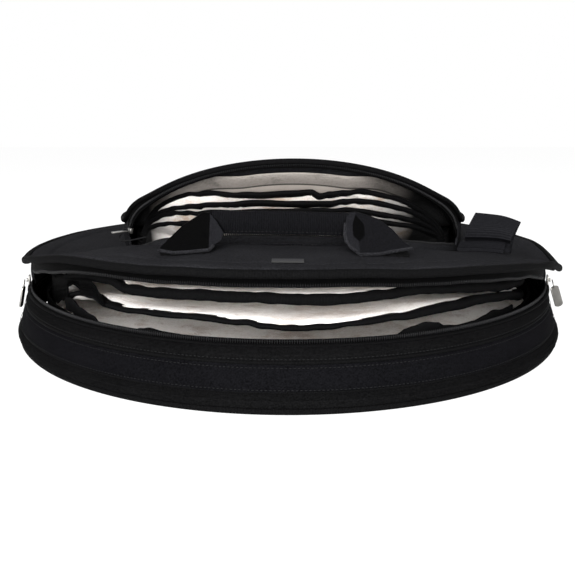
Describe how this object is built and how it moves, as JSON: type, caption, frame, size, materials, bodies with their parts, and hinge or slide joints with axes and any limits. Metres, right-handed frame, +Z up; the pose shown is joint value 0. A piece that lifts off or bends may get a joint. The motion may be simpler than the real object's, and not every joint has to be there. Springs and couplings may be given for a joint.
{
  "type": "cymbal bag",
  "caption": "Round padded cymbal bag: zipped main case with two fleece dividers, zipped round lid pocket with four dividers, top carrying handle and strap tab.",
  "frame": {"origin": "middle of the base, on the floor", "axes": "+Z up through the closed case; both mouths and the carrying handle face -Y; +X is the user's right when they face the mouths"},
  "size_m": [0.6084, 0.6084, 0.1924],
  "materials": {
    "black_cloth": "matt woven nylon",
    "ink_cloth": "matt woven nylon, slightly blue",
    "black_tape": "woven binding tape",
    "black_teeth": "nylon coil",
    "webbing": "ribbed webbing",
    "fleece": "brushed fleece",
    "nickel": "satin nickel plate",
    "label_weave": "plain woven"
  },
  "bodies": {
    "bag": {"base_panel": "black_cloth", "base_piping": "black_tape", "floor_lining": "fleece", "wall_lower_band": "black_cloth", "wall_middle_band": "ink_cloth", "wall_upper_band": "black_cloth", "wall_lining": "fleece", "lower_zip_tape": "black_tape", "lower_zip_teeth": "black_teeth", "rear_gusset": "black_cloth", "rear_lid_panel": "black_cloth", "rear_lid_lining": "fleece", "rear_lid_piping": "black_tape", "lid_fold": "black_cloth", "pocket_fold": "black_cloth", "main_divider_upper_rear": "fleece", "main_divider_lower_rear": "fleece", "pocket_panel_rear": "black_cloth", "pocket_piping_rear": "black_tape", "pocket_wall_rear": "black_cloth", "pocket_divider_lowest_rear": "fleece", "pocket_divider_lower_rear": "fleece", "pocket_divider_upper_rear": "fleece", "pocket_divider_highest_rear": "fleece"},
    "main_lid": {"front_lid_panel": "black_cloth", "front_lid_lining": "fleece", "front_lid_piping": "black_tape", "upper_zip_tape": "black_tape", "upper_zip_teeth": "black_teeth", "pocket_wall_front": "black_cloth", "pocket_zip_teeth_lower": "black_teeth", "handle_anchor_left": "webbing", "handle_anchor_right": "webbing", "strap_tab_patch": "webbing", "strap_tab_loop": "webbing", "woven_label": "label_weave", "pocket_slider": "nickel", "pocket_pull": "nickel"},
    "pocket_lid": {"pocket_panel_front": "black_cloth", "pocket_lining_front": "fleece", "pocket_piping_front": "black_tape", "pocket_zip_band": "black_tape", "pocket_zip_teeth_upper": "black_teeth"},
    "pocket_divider_lowest": {"pocket_divider_lowest_front": "fleece", "pocket_divider_lowest_binding": "black_tape"},
    "pocket_divider_lower": {"pocket_divider_lower_front": "fleece", "pocket_divider_lower_binding": "black_tape"},
    "pocket_divider_upper": {"pocket_divider_upper_front": "fleece", "pocket_divider_upper_binding": "black_tape"},
    "pocket_divider_highest": {"pocket_divider_highest_front": "fleece", "pocket_divider_highest_binding": "black_tape"},
    "main_divider_upper": {"main_divider_upper_front": "fleece", "main_divider_upper_binding": "black_tape"},
    "main_divider_lower": {"main_divider_lower_front": "fleece", "main_divider_lower_binding": "black_tape"},
    "handle": {"handle_strap": "webbing"},
    "main_slider_left": {"main_slider_left": "nickel"},
    "main_slider_right": {"main_slider_right": "nickel"},
    "main_pull_left": {"main_pull_left": "nickel"},
    "main_pull_right": {"main_pull_right": "nickel"}
  },
  "joints": [
    {"name": "main_lid_fold", "type": "hinge", "parent": "bag", "child": "main_lid", "pos_m": [0, -0.05, 0.0965], "axis": [-1, 0, 0], "range_deg": [-9.8, 18], "deforming": ["lid_fold", "pocket_fold"]},
    {"name": "pocket_lid_fold", "type": "hinge", "parent": "main_lid", "child": "pocket_lid", "pos_m": [0, -0.05, 0.12], "axis": [-1, 0, 0], "range_deg": [-20, 22]},
    {"name": "pocket_divider_lowest_fold", "type": "hinge", "parent": "main_lid", "child": "pocket_divider_lowest", "pos_m": [0, -0.05, 0.0925], "axis": [-1, 0, 0], "range_deg": [-7.6, 8.4]},
    {"name": "pocket_divider_lower_fold", "type": "hinge", "parent": "main_lid", "child": "pocket_divider_lower", "pos_m": [0, -0.05, 0.0965], "axis": [-1, 0, 0], "range_deg": [-10.1, 11.1]},
    {"name": "pocket_divider_upper_fold", "type": "hinge", "parent": "main_lid", "child": "pocket_divider_upper", "pos_m": [0, -0.05, 0.1005], "axis": [-1, 0, 0], "range_deg": [-11.2, 12.4]},
    {"name": "pocket_divider_highest_fold", "type": "hinge", "parent": "main_lid", "child": "pocket_divider_highest", "pos_m": [0, -0.05, 0.1045], "axis": [-1, 0, 0], "range_deg": [-14.1, 15.5]},
    {"name": "main_divider_upper_fold", "type": "hinge", "parent": "bag", "child": "main_divider_upper", "pos_m": [0, -0.05, 0.06], "axis": [-1, 0, 0], "range_deg": [-6.9, 12.7]},
    {"name": "main_divider_lower_fold", "type": "hinge", "parent": "bag", "child": "main_divider_lower", "pos_m": [0, -0.05, 0.04], "axis": [-1, 0, 0], "range_deg": [-5, 9.1]},
    {"name": "handle_fold", "type": "hinge", "parent": "main_lid", "child": "handle", "pos_m": [-0.00675, -0.219, 0.1231], "axis": [1, 0, 0], "range_deg": [-12, 100]},
    {"name": "main_slider_left_run", "type": "hinge", "parent": "bag", "child": "main_slider_left", "pos_m": [0, 0.0119, 0.0564], "axis": [0, 0, 1], "range_deg": [0, 72]},
    {"name": "main_slider_right_run", "type": "hinge", "parent": "bag", "child": "main_slider_right", "pos_m": [0, 0.0119, 0.0564], "axis": [0, 0, 1], "range_deg": [-72, 0]},
    {"name": "main_pull_left_hinge", "type": "hinge", "parent": "main_slider_left", "child": "main_pull_left", "pos_m": [-0.28972, -0.06573, 0.0564], "axis": [-0.2588, 0.9659, 0], "range_deg": [-1, 110]},
    {"name": "main_pull_right_hinge", "type": "hinge", "parent": "main_slider_right", "child": "main_pull_right", "pos_m": [0.28972, -0.06573, 0.0564], "axis": [-0.2588, -0.9659, 0], "range_deg": [-1, 110]}
  ],
  "couplings": [
    {"joint": "pocket_divider_lowest_fold", "follows": "pocket_lid_fold", "ratio": 0.375},
    {"joint": "pocket_divider_lower_fold", "follows": "pocket_lid_fold", "ratio": 0.5},
    {"joint": "pocket_divider_upper_fold", "follows": "pocket_lid_fold", "ratio": 0.555},
    {"joint": "pocket_divider_highest_fold", "follows": "pocket_lid_fold", "ratio": 0.7},
    {"joint": "main_divider_upper_fold", "follows": "main_lid_fold", "ratio": 0.7},
    {"joint": "main_divider_lower_fold", "follows": "main_lid_fold", "ratio": 0.5}
  ]
}
